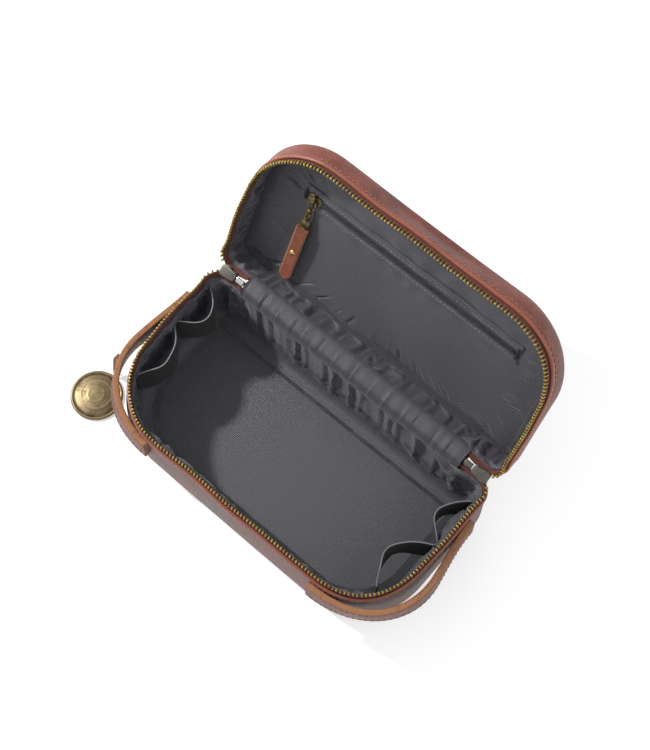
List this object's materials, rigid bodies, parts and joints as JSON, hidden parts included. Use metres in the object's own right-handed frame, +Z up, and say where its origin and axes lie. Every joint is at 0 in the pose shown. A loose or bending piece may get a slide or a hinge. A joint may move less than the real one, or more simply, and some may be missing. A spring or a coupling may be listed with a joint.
{
  "type": "shaving kit bag",
  "caption": "Soft leather shaving kit bag with a hinged zip-round lid, woven lining, lid pocket, elastic loops, end straps and a brass medallion.",
  "frame": {"origin": "middle of the flat resting face under the base", "axes": "+X along the bag towards its right end, +Y towards the leather hinge, +Z up"},
  "size_m": [0.2853, 0.2043, 0.1699],
  "materials": {
    "base_leather": "smooth full-grain brown leather, waxed",
    "lid_leather": "smooth full-grain cognac leather",
    "hinge_leather": "soft folded leather",
    "strap_leather": "doubled leather with raw tan edges",
    "tab_leather": "cognac leather with raw edges",
    "lace_leather": "flat cut leather lace",
    "board": "grey fibre board, hidden",
    "lining": "charcoal polyester with a fine dobby grid",
    "pocket_lining": "charcoal polyester with a fine dobby grid",
    "elastic": "black woven elastic",
    "binding": "black ribbed grosgrain",
    "zip_tape": "red-brown woven polyester tape",
    "zip_brass": "antique brass teeth",
    "pocket_zip": "black nylon zip tape",
    "coil": "black nylon coil",
    "antique_brass": "dark antique brass",
    "rivet_brass": "polished brass",
    "gunmetal": "gunmetal plated zinc",
    "nickel": "bright nickel",
    "medallion": "antique brass with a dark mottled patina"
  },
  "bodies": {
    "base": {"base_leather_shell": "base_leather", "base_board": "board", "base_lining": "lining", "base_zip_tape": "zip_tape", "base_zip_teeth": "zip_brass", "base_hinge_leather": "hinge_leather", "elastic_left_back": "elastic", "elastic_left_front": "elastic", "elastic_right_front": "elastic", "elastic_right_back": "elastic", "end_strap_left": "strap_leather", "end_strap_right": "strap_leather"},
    "lid": {"lid_leather_shell": "lid_leather", "lid_board": "board", "lid_lining_wall": "lining", "lid_pocket_panel": "pocket_lining", "lid_pocket_backing": "pocket_lining", "lid_panel_binding": "binding", "lid_zip_tape": "zip_tape", "lid_zip_teeth": "zip_brass", "lid_hinge_leather": "hinge_leather", "pocket_zip_tape": "pocket_zip", "pocket_zip_coil": "coil", "pocket_zip_stops": "pocket_zip"},
    "pocket_runner": {"pocket_slider": "antique_brass"},
    "pocket_pull": {"pocket_pull_link": "antique_brass", "pocket_pull_plate": "antique_brass"},
    "pocket_leather": {"pocket_tab": "tab_leather", "pocket_tab_rivet": "rivet_brass"},
    "left_runner": {"left_slider": "gunmetal", "left_zip_stop": "nickel"},
    "left_ring": {"left_pull_ring": "gunmetal"},
    "left_tab": {"left_pull_tab": "tab_leather", "left_pull_rivet": "rivet_brass"},
    "right_runner": {"right_slider": "gunmetal", "right_zip_stop": "gunmetal"},
    "right_ring": {"right_pull_ring": "nickel"},
    "right_tab": {"right_pull_tab": "tab_leather", "right_pull_rivet": "rivet_brass"},
    "lace": {"medallion_lace": "lace_leather"},
    "medallion": {"medallion_disc": "medallion", "medallion_shank": "antique_brass"}
  },
  "joints": [
    {"name": "lid_hinge", "type": "hinge", "parent": "base", "child": "lid", "pos_m": [0, 0.0612, 0.062], "axis": [-1, 0, 0], "range_deg": [-116, 28]},
    {"name": "left_slider_turn", "type": "hinge", "parent": "base", "child": "left_runner", "pos_m": [-0.108, 0.0612, 0.062], "axis": [-1, 0, 0], "range_deg": [-58, 14]},
    {"name": "left_pull_hang", "type": "hinge", "parent": "left_runner", "child": "left_ring", "pos_m": [-0.108, 0.06311, 0.05895], "axis": [-1, 0, 0], "range_deg": [-14, 58]},
    {"name": "left_tab_swing", "type": "hinge", "parent": "left_ring", "child": "left_tab", "pos_m": [-0.11138, 0.06311, 0.05259], "axis": [1, 0, 0], "range_deg": [0, 20]},
    {"name": "right_slider_turn", "type": "hinge", "parent": "base", "child": "right_runner", "pos_m": [0.108, 0.0612, 0.062], "axis": [-1, 0, 0], "range_deg": [-58, 14]},
    {"name": "right_pull_hang", "type": "hinge", "parent": "right_runner", "child": "right_ring", "pos_m": [0.108, 0.06311, 0.05895], "axis": [-1, 0, 0], "range_deg": [-14, 58]},
    {"name": "right_tab_swing", "type": "hinge", "parent": "right_ring", "child": "right_tab", "pos_m": [0.108, 0.06311, 0.05175], "axis": [1, 0, 0], "range_deg": [0, 20]},
    {"name": "pocket_slide", "type": "slide", "parent": "lid", "child": "pocket_runner", "axis": [1, 0, 0], "range_m": [0, 0.152]},
    {"name": "pocket_pull_lift", "type": "hinge", "parent": "pocket_runner", "child": "pocket_pull", "pos_m": [-0.078, 0.11389, 0.12531], "axis": [-1, 0, 0], "range_deg": [0, 70]},
    {"name": "pocket_tab_lift", "type": "hinge", "parent": "pocket_pull", "child": "pocket_leather", "pos_m": [-0.078, 0.10433, 0.10572], "axis": [-1, 0, 0], "range_deg": [0, 25]},
    {"name": "lace_swing", "type": "hinge", "parent": "base", "child": "lace", "pos_m": [-0.1306, -0.0274, 0.043], "axis": [0, 1, 0], "range_deg": [0, 60]},
    {"name": "medallion_lift", "type": "hinge", "parent": "lace", "child": "medallion", "pos_m": [-0.1365, -0.0281, 0.002], "axis": [1, 0, 0], "range_deg": [-50, 0]}
  ],
  "couplings": [
    {"joint": "left_slider_turn", "follows": "lid_hinge", "ratio": 0.5},
    {"joint": "left_pull_hang", "follows": "lid_hinge", "ratio": -0.5},
    {"joint": "right_slider_turn", "follows": "lid_hinge", "ratio": 0.5},
    {"joint": "right_pull_hang", "follows": "lid_hinge", "ratio": -0.5}
  ]
}
